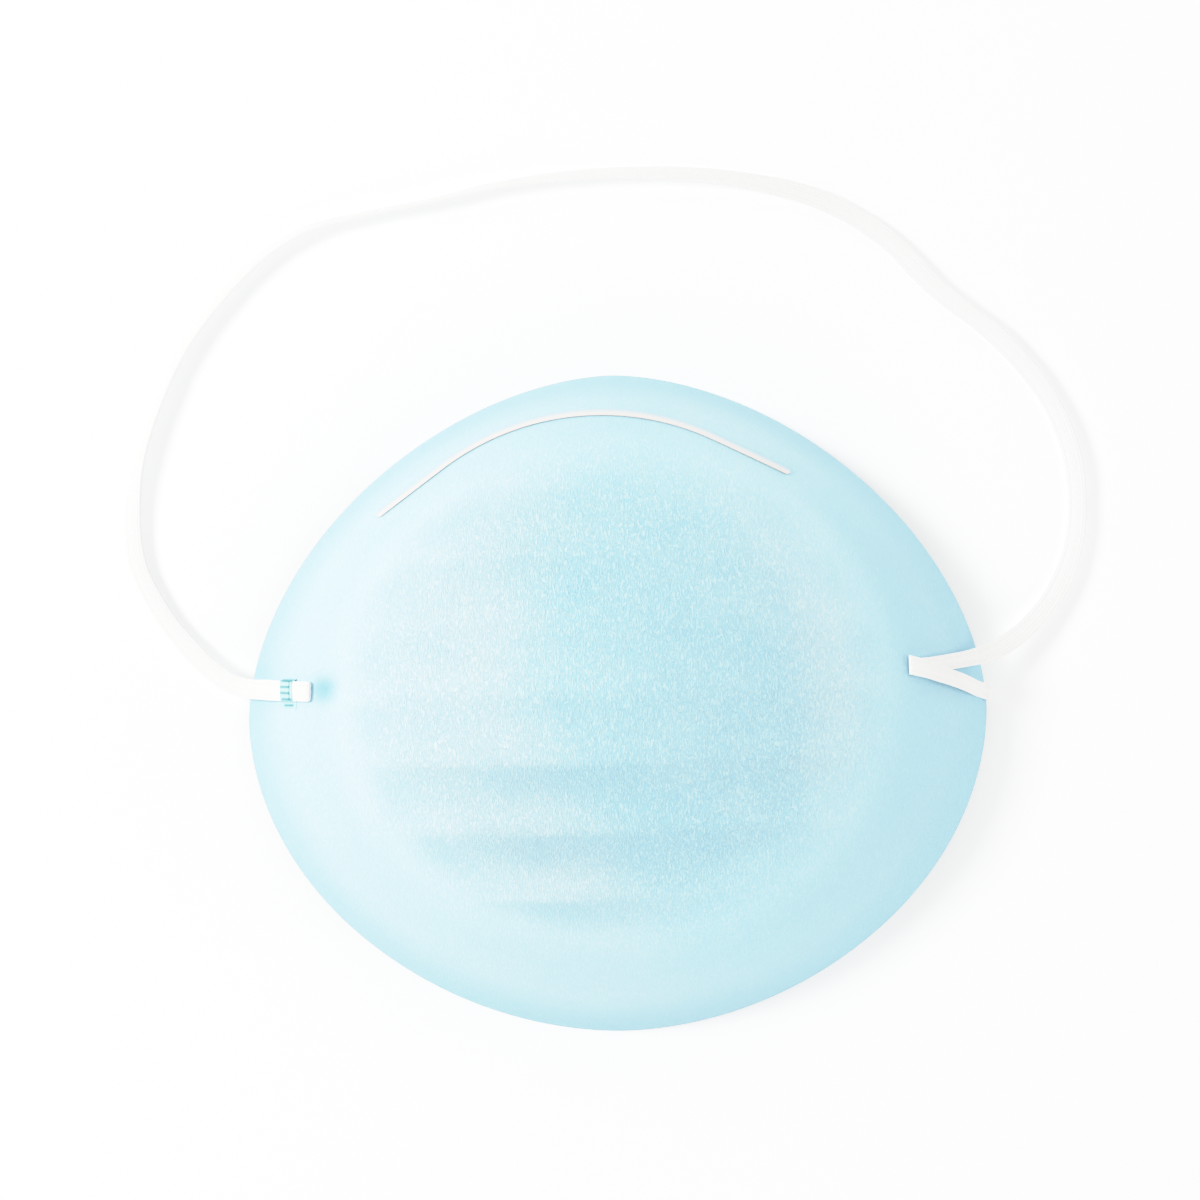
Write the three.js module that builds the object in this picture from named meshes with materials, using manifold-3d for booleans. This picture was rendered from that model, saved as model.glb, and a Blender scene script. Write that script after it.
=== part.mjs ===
// Cone face mask: a moulded nonwoven cup with a ribbed front, a metal nose clip and an elastic head strap.
// Millimetres, +Z up. The cup lies face up on its rim, with the nose towards +Y and the chin towards -Y.
// The origin is on the surface it lies on, under the middle of the cup.

import * as THREE from 'three';
import { mergeVertices } from 'three/addons/utils/BufferGeometryUtils.js';
import Module from 'manifold-3d';

// Rim outline: two half superellipses that meet at the widest line, a little below the middle.
const CUP_HALF_WIDTH = 70;
const WIDEST_LINE_Y = -2;
const NOSE_REACH = 64.4;
const CHIN_REACH = 60.4;
const NOSE_EXPONENT = 1.77;
const CHIN_EXPONENT = 1.91;

// Front panel: an oval cone with a rounded crown, which stands on the plain border.
const PANEL_HALF_WIDTH = 51.5;
const PANEL_HALF_HEIGHT = 47;
const PANEL_MIDDLE_Y = 2;
const PANEL_EDGE_HEIGHT = 21;
const PANEL_RISE = 24;
const CROWN_ROUNDING = 0.38;

// Border: it falls evenly from the panel, and rolls down in a steep band at the rim.
const ROLL_SHARE = 0.3;
const ROLL_POWER = 5;
const CHEEK_LIFT = 3;
const CHEEK_LIFT_FROM = 0.55;
const CHEEK_LIFT_FULL = 0.95;

// Wall of the cup, and the width of the level cut edge under the rim.
const WALL = 1.3;
const RIM_CUT = 1.5;

// Level channels pressed into the panel, from the nose down. Each is a hollow from its ridge to the next one.
const CHANNELS = [
  { ridge: 41.6, depth: 0.3 },
  { ridge: 28.8, depth: 0.35 },
  { ridge: 16, depth: 0.3 },
  { ridge: 3.2, depth: 0.5 },
  { ridge: -9.6, depth: 1.2 },
  { ridge: -22.4, depth: 1.2 },
  { ridge: -35.2, depth: 0.6 },
];
const CHANNEL_PITCH = 12.8;
const CHANNEL_LINES = [0, 0.17, 0.36, 0.6, 0.82];
const CHANNEL_FADE_FROM = 0.75;
const CHANNEL_END_DEEPENING = 0.2;

// Dimple where the strap's tail meets the left cheek.
const DIMPLE = { x: -53.6, y: 3.9, radius: 2.3, depth: 1.2 };

// Slit through the right cheek.
const SLIT = { x: 55.6, y: 6, width: 2, length: 5.4, depth: 12 };

// Nose clip: a strip bent over the nose, with straight tails. It is set a little to one side. left and right are
// the bend's angles in degrees from its top, and the plan lengths from its top to the ends.
const CLIP_BEND = { x: -2.9, y: 5.6, radius: 49.2, left: 35.9, right: 26.5 };
const CLIP_REACH = { left: 46.4, right: 38.5 };
const CLIP_WIDTH = 2;
const CLIP_THICKNESS = 0.5;
const CLIP_EDGE_ROUNDING = 0.15;

// Elastic band.
const BAND_WIDTH = 4;
const BAND_THICKNESS = 0.8;
const BAND_EDGE_ROUNDING = 0.25;

// Clear space between pieces that touch on the real mask.
const GAP = 0.3;

// Head strap, from its tail on the left cheek to the slit on the right one. rise is its underside's height.
// lean is its angle in degrees from standing on edge, to the inside of the loop when negative: past -90 it lies
// on its inner edge, with the outer one raised.
const STRAP_ROUTE = [
  { x: -57.4, y: 3.8, rise: 17.4, lean: -90 },
  { x: -60.3, y: 3.9, rise: 15.3, lean: -90 },
  { x: -63.2, y: 4.0, rise: 12.9, lean: -90 },
  { x: -66.4, y: 4.2, rise: 9.9, lean: -90 },
  { x: -70.0, y: 4.5, rise: 6.2, lean: -89 },
  { x: -73.6, y: 5.6, rise: 4.0, lean: -83 },
  { x: -78.4, y: 9.4, rise: 1.8, lean: -75 },
  { x: -83.4, y: 15.0, rise: 0.4, lean: -69 },
  { x: -87.3, y: 20.9, rise: 0, lean: -65 },
  { x: -90.8, y: 29.0, rise: 0, lean: -62 },
  { x: -91.4, y: 38.0, rise: 0, lean: -56 },
  { x: -89.8, y: 48.5, rise: 0, lean: -36 },
  { x: -86.2, y: 58.7, rise: 0, lean: -29 },
  { x: -80.9, y: 69.3, rise: 0, lean: -28 },
  { x: -73.8, y: 78.6, rise: 0, lean: -28 },
  { x: -64.9, y: 87.0, rise: 0, lean: -26 },
  { x: -57.0, y: 91.4, rise: 0, lean: -20 },
  { x: -47.0, y: 93.8, rise: 0, lean: -14 },
  { x: -34.5, y: 96.0, rise: 0, lean: -13 },
  { x: -20.2, y: 99.0, rise: 0, lean: -20 },
  { x: -5.0, y: 100.5, rise: 0, lean: -31 },
  { x: 10.5, y: 100.6, rise: 0, lean: -40 },
  { x: 26.5, y: 98.8, rise: 0, lean: -56 },
  { x: 41.0, y: 94.8, rise: 0, lean: -80 },
  { x: 52.6, y: 87.7, rise: 0, lean: -100 },
  { x: 62.6, y: 77.4, rise: 0, lean: -110 },
  { x: 74.2, y: 67.7, rise: 0, lean: -115 },
  { x: 82.5, y: 57.4, rise: 0, lean: -119 },
  { x: 87.1, y: 46.8, rise: 0, lean: -122 },
  { x: 88.3, y: 36.0, rise: 0, lean: -122 },
  { x: 86.9, y: 26.3, rise: 0.2, lean: -118 },
  { x: 83.2, y: 18.4, rise: 0.9, lean: -110 },
  { x: 77.4, y: 12.0, rise: 2.8, lean: -101 },
  { x: 71.4, y: 8.4, rise: 5.7, lean: -94 },
  { x: 67.0, y: 7.3, rise: 9.5, lean: -90 },
  { x: 62.4, y: 6.6, rise: 13.5, lean: -90 },
  { x: 58.2, y: 6.1, rise: 16.8, lean: -90 },
];
const STEPS_PER_ROUTE_POINT = 2;

// End of the same band at the right cheek. stand is its middle's distance in front of the cup's outer face.
const ON_FRONT = GAP + BAND_THICKNESS / 2;
const OVER_BAND = ON_FRONT + BAND_THICKNESS + GAP;
const BEHIND_WALL = -WALL - GAP - BAND_THICKNESS / 2;
const TURN_THROUGH_SLIT = [
  { x: 57.6, y: 6.1, stand: ON_FRONT },
  { x: 56.8, y: 6.0, stand: ON_FRONT - 0.1 },
  { x: 55.9, y: 5.9, stand: 0.2 },
  { x: 55.6, y: 5.8, stand: -WALL / 2 },
  { x: 55.9, y: 5.7, stand: -WALL - 0.3 },
  { x: 56.8, y: 5.4, stand: BEHIND_WALL },
  { x: 60.0, y: 4.2, stand: BEHIND_WALL },
  { x: 64.0, y: 2.7, stand: BEHIND_WALL },
  { x: 67.6, y: 1.4, stand: BEHIND_WALL },
];
const TURN_OVER_FRONT = [
  { x: 69.0, y: 0.8, stand: ON_FRONT },
  { x: 67.4, y: 1.4, stand: ON_FRONT + 0.1 },
  { x: 65.4, y: 2.2, stand: ON_FRONT + 0.6 },
  { x: 63.2, y: 3.0, stand: OVER_BAND },
  { x: 60.0, y: 4.2, stand: OVER_BAND },
  { x: 56.8, y: 5.4, stand: OVER_BAND },
  { x: 53.7, y: 6.3, stand: OVER_BAND - 0.7 },
];
const TURN_UNDER_RIM_Y = 0.9;
const TURN_SLACK = 0.2;
const TURN_OUTSIDE_RIM_RISE = 0.9;
const TURN_STEPS = 44;

// Weld bar over the strap on the left cheek, with ridges across it and a leg below the strap.
const WELD = { x: -61.4, y: 4, slant: 1 };
const WELD_LENGTH_ALONG_STRAP = 2;
const WELD_UP = 2.3;
const WELD_DOWN = -3.3;
const WELD_LEG_WIDTH = 1;
const WELD_PLATE = 0.4;
const WELD_RIDGE = 0.35;
const WELD_RIDGES = 5;

// Finer rows where the panel closes at the nose and chin, as angles round its oval, and the border's rings.
const CAP_ANGLES = [66, 71.5, 76.5, 81, 85.5];
const LAST_CHANNEL_ANGLE = 64;
const PANEL_COLUMNS = 22;
const BORDER_RINGS = 9;
const CLIP_STEPS = 28;
const CLIP_END_SECTIONS = 3;

const wasm = await Module();
wasm.setup();

const { clamp, degToRad, smoothstep } = THREE.MathUtils;
const UP = new THREE.Vector3(0, 0, 1);

/** Superellipse measure of a plan point: 1 on the rim's outline, less inside it. */
function rimMeasure(x, y) {
  const above = y - WIDEST_LINE_Y;
  const exponent = above > 0 ? NOSE_EXPONENT : CHIN_EXPONENT;
  const reach = above > 0 ? NOSE_REACH : CHIN_REACH;
  const across = Math.abs(x / CUP_HALF_WIDTH) ** exponent;
  const along = Math.abs(above / reach) ** exponent;
  return (across + along) ** (1 / exponent);
}

/** Plan point at a share of the panel's oval, along a ray at an angle round it. */
function ovalPoint(share, angle) {
  return new THREE.Vector2(
    PANEL_HALF_WIDTH * share * Math.cos(angle),
    PANEL_MIDDLE_Y + PANEL_HALF_HEIGHT * share * Math.sin(angle),
  );
}

/** Share of the panel's oval at which a ray meets the rim, by halving. */
function rimShare(angle) {
  let inside = 1;
  let outside = 2;
  for (let halving = 0; halving < 40; halving += 1) {
    const middle = (inside + outside) / 2;
    const { x, y } = ovalPoint(middle, angle);
    if (rimMeasure(x, y) < 1) {
      inside = middle;
    } else {
      outside = middle;
    }
  }
  return (inside + outside) / 2;
}

/** Height of the rim's cut edge above the surface: raised at the cheeks, level at the nose and the chin. */
function rimLift(angle) {
  return CHEEK_LIFT * smoothstep(Math.abs(Math.cos(angle)), CHEEK_LIFT_FROM, CHEEK_LIFT_FULL);
}

/** How far the channels press the panel in at a plan point: half a sine wave from each ridge to the next. */
function channelDepth(y, share) {
  const ends = 1 - smoothstep(share, CHANNEL_FADE_FROM, 1);
  const deepening = 1 + CHANNEL_END_DEEPENING * share ** 4;
  let depth = 0;
  for (const channel of CHANNELS) {
    const down = clamp((channel.ridge - y) / CHANNEL_PITCH, 0, 1);
    depth += channel.depth * Math.sin(Math.PI * down);
  }
  return depth * ends * deepening;
}

/** Height of the cup's outer face over a plan point. */
function frontHeight(x, y) {
  const across = x / PANEL_HALF_WIDTH;
  const along = (y - PANEL_MIDDLE_Y) / PANEL_HALF_HEIGHT;
  const share = Math.hypot(across, along);
  const fromDimple = Math.hypot(x - DIMPLE.x, y - DIMPLE.y) / DIMPLE.radius;
  const dimple = DIMPLE.depth * Math.exp(-(fromDimple ** 2));
  if (share <= 1) {
    const slope = Math.hypot(share, CROWN_ROUNDING) - CROWN_ROUNDING;
    const fullSlope = Math.hypot(1, CROWN_ROUNDING) - CROWN_ROUNDING;
    return PANEL_EDGE_HEIGHT + PANEL_RISE * (1 - slope / fullSlope) - channelDepth(y, share) - dimple;
  }
  const angle = Math.atan2(along, across);
  const outward = clamp((share - 1) / (rimShare(angle) - 1), 0, 1);
  const drop = (1 - ROLL_SHARE) * outward + ROLL_SHARE * outward ** ROLL_POWER;
  const lift = rimLift(angle);
  return lift + (PANEL_EDGE_HEIGHT - lift) * (1 - drop) - dimple;
}

/** Direction square to the cup's outer face over a plan point. */
function frontNormal(x, y) {
  const reach = 0.4;
  const slopeX = (frontHeight(x + reach, y) - frontHeight(x - reach, y)) / (2 * reach);
  const slopeY = (frontHeight(x, y + reach) - frontHeight(x, y - reach)) / (2 * reach);
  return new THREE.Vector3(-slopeX, -slopeY, 1).normalize();
}

/** Point at a distance in front of the cup's outer face, or behind it when negative. */
function pointOffFront({ x, y, stand }) {
  return new THREE.Vector3(x, y, frontHeight(x, y)).addScaledVector(frontNormal(x, y), stand);
}

function meshGeometry(vertices, triangles) {
  const geometry = new THREE.BufferGeometry();
  const numbers = vertices.flatMap((vertex) => vertex.toArray());
  geometry.setAttribute('position', new THREE.Float32BufferAttribute(numbers, 3));
  geometry.setIndex(triangles.flat());
  return geometry;
}

/** Closed body through a row of rings with equal point counts, with a fan over each end. */
function loft(rings) {
  const sides = rings[0].length;
  const vertices = rings.flat();
  const triangles = [];
  for (let ring = 0; ring + 1 < rings.length; ring += 1) {
    for (let side = 0; side < sides; side += 1) {
      const a = ring * sides + side;
      const b = ring * sides + (side + 1) % sides;
      triangles.push([a, b, b + sides], [a, b + sides, a + sides]);
    }
  }
  const last = (rings.length - 1) * sides;
  for (let side = 1; side + 1 < sides; side += 1) {
    triangles.push([0, side + 1, side], [last, last + side, last + side + 1]);
  }
  return meshGeometry(vertices, triangles);
}

/** Eight corners of a flat section with cut edges, as pairs across its width and its thickness. */
function flatSection(width, thickness, edge) {
  const w = width / 2;
  const t = thickness / 2;
  return [
    [w, -t + edge], [w, t - edge], [w - edge, t], [edge - w, t],
    [-w, t - edge], [-w, edge - t], [edge - w, -t], [w - edge, -t],
  ];
}

/** Band along a row of points, each with the direction of the band's width there. */
function sweepBand(points, widthDirections, section) {
  const rings = points.map((point, index) => {
    const before = points[Math.max(index - 1, 0)];
    const after = points[Math.min(index + 1, points.length - 1)];
    const along = after.clone().sub(before).normalize();
    const across = widthDirections[index].clone();
    across.addScaledVector(along, -across.dot(along)).normalize();
    const outward = along.clone().cross(across);
    return section.map(([w, t]) => point.clone().addScaledVector(across, w).addScaledVector(outward, t));
  });
  return loft(rings);
}

function toSolid(geometry) {
  const bare = geometry.clone();
  bare.deleteAttribute('normal');
  bare.deleteAttribute('uv');
  const merged = mergeVertices(bare);
  return new wasm.Manifold(new wasm.Mesh({
    numProp: 3,
    vertProperties: new Float32Array(merged.attributes.position.array),
    triVerts: new Uint32Array(merged.index.array),
  }));
}

function toGeometry(solid) {
  const { vertProperties, triVerts } = solid.getMesh();
  const geometry = new THREE.BufferGeometry();
  geometry.setAttribute('position', new THREE.Float32BufferAttribute(vertProperties, 3));
  geometry.setIndex(Array.from(triVerts));
  return geometry;
}

/** Plan rows of the panel from chin to nose: lines along every channel, closer together at both ends. */
function panelRowAngles() {
  const lastHeight = Math.sin(degToRad(LAST_CHANNEL_ANGLE));
  const steps = CHANNEL_LINES.map((line) => line * CHANNEL_PITCH);
  const onChannels = CHANNELS.flatMap(({ ridge }) => steps.map((step) => ridge - step))
    .map((y) => (y - PANEL_MIDDLE_Y) / PANEL_HALF_HEIGHT)
    .filter((height) => Math.abs(height) < lastHeight)
    .map((height) => Math.asin(height));
  const caps = CAP_ANGLES.flatMap((angle) => [degToRad(angle), -degToRad(angle)]);
  return [...onChannels, ...caps].sort((a, b) => a - b);
}

/** Outer face of the cup: panel rows from the chin point to the nose point, then border rings to the rim. */
function cupFace() {
  const rowAngles = panelRowAngles();
  const rows = rowAngles.length;
  const points = [];
  const triangles = [];
  const add = ({ x, y }) => points.push(new THREE.Vector3(x, y, frontHeight(x, y))) - 1;
  const chin = add(ovalPoint(1, -Math.PI / 2));
  const nose = add(ovalPoint(1, Math.PI / 2));
  const grid = rowAngles.map((angle) => Array.from({ length: PANEL_COLUMNS + 1 }, (_, column) => {
    const end = ovalPoint(1, angle);
    const sweep = Math.sin((column / PANEL_COLUMNS - 0.5) * Math.PI);
    return add(new THREE.Vector2(end.x * sweep, end.y));
  }));
  for (let column = 0; column < PANEL_COLUMNS; column += 1) {
    triangles.push([chin, grid[0][column + 1], grid[0][column]]);
    triangles.push([nose, grid[rows - 1][column], grid[rows - 1][column + 1]]);
    for (let row = 0; row + 1 < rows; row += 1) {
      const [a, b] = [grid[row][column], grid[row][column + 1]];
      const [c, d] = [grid[row + 1][column + 1], grid[row + 1][column]];
      triangles.push([a, b, c], [a, c, d]);
    }
  }
  const right = grid.map((row) => row[PANEL_COLUMNS]);
  const left = grid.map((row) => row[0]).reverse();
  let ring = [chin, ...right, nose, ...left];
  const angles = [-Math.PI / 2, ...rowAngles, Math.PI / 2, ...rowAngles.map((a) => Math.PI - a).reverse()];
  for (let step = 1; step <= BORDER_RINGS; step += 1) {
    const outward = step / BORDER_RINGS;
    const next = angles.map((angle) => add(ovalPoint(1 + (rimShare(angle) - 1) * outward, angle)));
    ring.forEach((vertex, index) => {
      const following = (index + 1) % ring.length;
      triangles.push([vertex, next[index], next[following]], [vertex, next[following], ring[following]]);
    });
    ring = next;
  }
  return { points, triangles, rim: ring };
}

/** Hollow cup: the outer face, the same face set in by the wall, and a level cut edge that joins them. */
function cupGeometry() {
  const { points, triangles, rim } = cupFace();
  const face = meshGeometry(points, triangles);
  face.computeVertexNormals();
  const normals = face.attributes.normal;
  const inner = points.map((point, index) => {
    const normal = new THREE.Vector3().fromBufferAttribute(normals, index);
    return point.clone().addScaledVector(normal, -WALL);
  });
  for (const vertex of rim) {
    const { x, y, z } = points[vertex];
    const inward = new THREE.Vector2(x, y).normalize().multiplyScalar(-RIM_CUT);
    inner[vertex].set(x + inward.x, y + inward.y, z);
  }
  const count = points.length;
  const back = triangles.map(([a, b, c]) => [a + count, c + count, b + count]);
  const edge = rim.flatMap((vertex, index) => {
    const following = rim[(index + 1) % rim.length];
    return [[vertex, vertex + count, following + count], [vertex, following + count, following]];
  });
  const shell = meshGeometry([...points, ...inner], [...triangles, ...back, ...edge]);

  const cutter = new THREE.BoxGeometry(SLIT.width, SLIT.length, SLIT.depth);
  const turn = new THREE.Quaternion().setFromUnitVectors(UP, frontNormal(SLIT.x, SLIT.y));
  const middle = pointOffFront({ ...SLIT, stand: -WALL / 2 });
  cutter.applyQuaternion(turn).translate(middle.x, middle.y, middle.z);
  return toGeometry(toSolid(shell).subtract(toSolid(cutter)));
}

/** Strip along its bend and tails over the cup, with half-round ends. */
function clipGeometry() {
  const { left, right } = CLIP_REACH;
  const end = CLIP_WIDTH / 2;
  const stations = [];
  for (let step = 0; step < CLIP_END_SECTIONS; step += 1) {
    const turn = (step + 0.5) / CLIP_END_SECTIONS * Math.PI / 2;
    stations.push({ run: end * (1 - Math.cos(turn)) - right, share: Math.sin(turn) });
  }
  for (let step = 0; step <= CLIP_STEPS; step += 1) {
    stations.push({ run: end - right + (left + right - 2 * end) * step / CLIP_STEPS, share: 1 });
  }
  for (let step = CLIP_END_SECTIONS - 1; step >= 0; step -= 1) {
    const turn = (step + 0.5) / CLIP_END_SECTIONS * Math.PI / 2;
    stations.push({ run: left - end * (1 - Math.cos(turn)), share: Math.sin(turn) });
  }
  const rings = stations.map(({ run, share }) => {
    const { radius } = CLIP_BEND;
    const angle = clamp(run / radius, -degToRad(CLIP_BEND.right), degToRad(CLIP_BEND.left));
    const tail = run - radius * angle;
    const x = CLIP_BEND.x - radius * Math.sin(angle) - tail * Math.cos(angle);
    const y = CLIP_BEND.y + radius * Math.cos(angle) - tail * Math.sin(angle);
    const normal = frontNormal(x, y);
    const middle = pointOffFront({ x, y, stand: GAP + CLIP_THICKNESS / 2 });
    const along = new THREE.Vector3(-Math.cos(angle), -Math.sin(angle), 0);
    const across = normal.clone().cross(along).normalize();
    const section = flatSection(CLIP_WIDTH * share, CLIP_THICKNESS, CLIP_EDGE_ROUNDING);
    return section.map(([w, t]) => middle.clone().addScaledVector(across, w).addScaledVector(normal, t));
  });
  return loft(rings);
}

/** Half of the height that the band's section takes up when it leans. */
function bandHalfHeight(lean) {
  const turn = degToRad(lean);
  return BAND_WIDTH / 2 * Math.abs(Math.cos(turn)) + BAND_THICKNESS / 2 * Math.abs(Math.sin(turn));
}

function strapGeometry() {
  const line = new THREE.CatmullRomCurve3(STRAP_ROUTE.map(({ x, y, rise, lean }) => (
    new THREE.Vector3(x, y, rise + bandHalfHeight(lean)))));
  const leans = new THREE.CatmullRomCurve3(STRAP_ROUTE.map(({ lean }, index) => (
    new THREE.Vector3(index, lean, 0))));
  const steps = (STRAP_ROUTE.length - 1) * STEPS_PER_ROUTE_POINT;
  const points = line.getPoints(steps);
  const widthDirections = leans.getPoints(steps).map(({ y: lean }, index) => {
    const along = line.getTangent(index / steps);
    const outside = UP.clone().cross(along).normalize();
    const upright = along.clone().cross(outside);
    const turn = degToRad(lean);
    return upright.multiplyScalar(Math.cos(turn)).addScaledVector(outside, Math.sin(turn));
  });
  return sweepBand(points, widthDirections, flatSection(BAND_WIDTH, BAND_THICKNESS, BAND_EDGE_ROUNDING));
}

/** Band through the slit, down behind the cheek, round the rim's cut edge and back over the front. */
function strapTurnGeometry() {
  const angle = Math.atan2((TURN_UNDER_RIM_Y - PANEL_MIDDLE_Y) / PANEL_HALF_HEIGHT, 1);
  const rim = ovalPoint(rimShare(angle), angle);
  const lift = rimLift(angle);
  const clear = GAP + BAND_THICKNESS / 2;
  const underRim = [
    new THREE.Vector3(rim.x - RIM_CUT - clear, rim.y, lift - TURN_SLACK),
    new THREE.Vector3(rim.x - RIM_CUT / 2, rim.y, lift - clear - TURN_SLACK),
    new THREE.Vector3(rim.x + clear, rim.y, lift - TURN_SLACK),
    new THREE.Vector3(rim.x + clear, rim.y, lift + TURN_OUTSIDE_RIM_RISE),
  ];
  const line = new THREE.CatmullRomCurve3([
    ...TURN_THROUGH_SLIT.map(pointOffFront),
    ...underRim,
    ...TURN_OVER_FRONT.map(pointOffFront),
  ]);
  const points = line.getPoints(TURN_STEPS);
  const widthDirections = points.map(() => new THREE.Vector3(0, 1, 0));
  return sweepBand(points, widthDirections, flatSection(BAND_WIDTH, BAND_THICKNESS, BAND_EDGE_ROUNDING));
}

/** Bar over the strap with a leg below it and ridges along its top. */
function weldGeometry() {
  const underside = 2 * GAP + BAND_THICKNESS;
  const top = underside + WELD_PLATE;
  const pitch = (WELD_UP - WELD_DOWN) / (2 * WELD_RIDGES - 1);
  const outline = new THREE.Shape();
  outline.moveTo(WELD_DOWN, GAP);
  outline.lineTo(WELD_DOWN + WELD_LEG_WIDTH, GAP);
  outline.lineTo(WELD_DOWN + WELD_LEG_WIDTH, underside);
  outline.lineTo(WELD_UP, underside);
  for (let ridge = 0; ridge < WELD_RIDGES; ridge += 1) {
    const start = WELD_UP - 2 * ridge * pitch;
    const onLast = ridge === WELD_RIDGES - 1;
    outline.lineTo(start, top + WELD_RIDGE);
    outline.lineTo(start - pitch, top + WELD_RIDGE);
    if (!onLast) {
      outline.lineTo(start - pitch, top);
      outline.lineTo(start - 2 * pitch, top);
    }
  }
  outline.closePath();
  const extrusion = { depth: WELD_LENGTH_ALONG_STRAP, bevelEnabled: false };
  const geometry = new THREE.ExtrudeGeometry(outline, extrusion);
  geometry.translate(0, 0, -WELD_LENGTH_ALONG_STRAP / 2);
  const outward = frontNormal(WELD.x, WELD.y);
  const across = new THREE.Vector3(Math.sin(degToRad(WELD.slant)), Math.cos(degToRad(WELD.slant)), 0);
  across.addScaledVector(outward, -across.dot(outward)).normalize();
  const along = across.clone().cross(outward);
  const place = new THREE.Matrix4().makeBasis(across, outward, along);
  place.setPosition(pointOffFront({ ...WELD, stand: 0 }));
  return geometry.applyMatrix4(place);
}

function piece(name, geometry, finish) {
  const mesh = new THREE.Mesh(geometry, new THREE.MeshStandardMaterial(finish));
  mesh.name = name;
  return mesh;
}

const mask = new THREE.Group();
mask.add(
  piece('cup', cupGeometry(), { color: 0xc0e6f1, roughness: 0.9, metalness: 0 }),
  piece('nose_clip', clipGeometry(), { color: 0xeeeae2, roughness: 0.45, metalness: 0.2 }),
  piece('head_strap', strapGeometry(), { color: 0xf6f3ee, roughness: 0.85, metalness: 0 }),
  piece('strap_turn', strapTurnGeometry(), { color: 0xf6f3ee, roughness: 0.85, metalness: 0 }),
  piece('strap_weld', weldGeometry(), { color: 0x86d3da, roughness: 0.4, metalness: 0 }),
);

export default mask;
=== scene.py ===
import math

import bpy
import numpy as np
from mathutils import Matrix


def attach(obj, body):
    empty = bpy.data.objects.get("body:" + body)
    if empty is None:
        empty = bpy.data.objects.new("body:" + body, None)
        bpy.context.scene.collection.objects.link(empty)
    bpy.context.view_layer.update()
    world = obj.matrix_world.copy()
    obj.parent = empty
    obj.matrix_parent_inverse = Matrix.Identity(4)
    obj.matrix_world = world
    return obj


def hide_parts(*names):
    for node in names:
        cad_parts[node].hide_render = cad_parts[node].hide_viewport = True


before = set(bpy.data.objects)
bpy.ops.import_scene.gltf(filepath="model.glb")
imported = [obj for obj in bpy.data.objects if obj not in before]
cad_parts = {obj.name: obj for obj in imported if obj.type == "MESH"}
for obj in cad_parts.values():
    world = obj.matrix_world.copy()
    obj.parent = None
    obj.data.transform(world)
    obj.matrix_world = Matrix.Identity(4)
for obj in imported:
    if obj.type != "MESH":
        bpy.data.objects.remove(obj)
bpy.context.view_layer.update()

# View
# The mask is looked at from straight above, and lies turned a little in the picture. Its palest tones run
# softly into white.
CAMERA_HEIGHT = 0.9
PICTURE_WIDTH = 0.2286
PICTURE_MIDDLE = (-0.0029, 0.0197)
PICTURE_TURN = math.radians(-1.3)
SENSOR_WIDTH = 36
WHITE_LEVEL = 1.55
SHOULDER = (
    # light, how bright it shows
    (0, 0), (0.35, 0.35), (0.58, 0.575), (0.75, 0.73), (0.87, 0.815),
    (1.0, 0.872), (1.15, 0.918), (1.3, 0.955), (WHITE_LEVEL, 1),
)

camera_data = bpy.data.cameras.new("camera")
camera_data.sensor_width = SENSOR_WIDTH
camera_data.lens = SENSOR_WIDTH * CAMERA_HEIGHT / PICTURE_WIDTH
camera = bpy.data.objects.new("camera", camera_data)
camera.location = (*PICTURE_MIDDLE, CAMERA_HEIGHT)
camera.rotation_euler = (0, 0, PICTURE_TURN)
bpy.context.collection.objects.link(camera)
bpy.context.scene.camera = camera

view_settings = bpy.context.scene.view_settings
view_settings.view_transform = "Standard"
view_settings.use_curve_mapping = True
shoulder = view_settings.curve_mapping
shoulder.extend = "HORIZONTAL"
shoulder.white_level = [WHITE_LEVEL] * 3
all_colours = shoulder.curves[3]
for _ in SHOULDER[2:]:
    all_colours.points.new(0.5, 0.5)
for point, (light, shown) in zip(all_colours.points, SHOULDER):
    point.location = light / WHITE_LEVEL, shown
shoulder.update()

# Cup
# The shell is a felt of pale blue fibres, pressed hot over a mould so that it keeps its dome. The press
# leaves level channels across the front panel, a plain border and a denser rim that is rolled down and
# trimmed.
CUP_HALF_WIDTH = 0.070
WIDEST_LINE_Y = -0.002
NOSE_REACH, NOSE_EXPONENT = 0.0644, 1.77
CHIN_REACH, CHIN_EXPONENT = 0.0604, 1.91
PANEL_HALF_WIDTH, PANEL_HALF_HEIGHT = 0.0515, 0.047
PANEL_MIDDLE_Y = 0.002
PANEL_EDGE_HEIGHT, PANEL_RISE = 0.021, 0.024
PANEL_EDGE_BLEND, PANEL_EDGE_NEAR, PANEL_EDGE_FAR = 0.012, 0.05, 0.15
CROWN_ROUNDING = 0.38
ROLL_SHARE, ROLL_POWER = 0.3, 5
CHEEK_LIFT, CHEEK_LIFT_FROM, CHEEK_LIFT_FULL = 0.003, 0.55, 0.95
WALL = 0.0013
LIP_SHARE = 0.004
LIP_HEIGHT, LIP_TURN_IN = 0.00012, 0.00045

CHANNEL_RIDGE = np.array([0.0416, 0.0288, 0.0160, 0.0032, -0.0096, -0.0224, -0.0352])
CHANNEL_DEPTH = np.array([0.0003, 0.00035, 0.0003, 0.0005, 0.0012, 0.0012, 0.0006])
CHANNEL_PITCH = 0.0128
RIDGE_ROUNDING, RIDGE_SAMPLES = 0.0007, 5
CHANNEL_FADE_FROM, CHANNEL_END_DEEPENING = 0.75, 0.2

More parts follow.
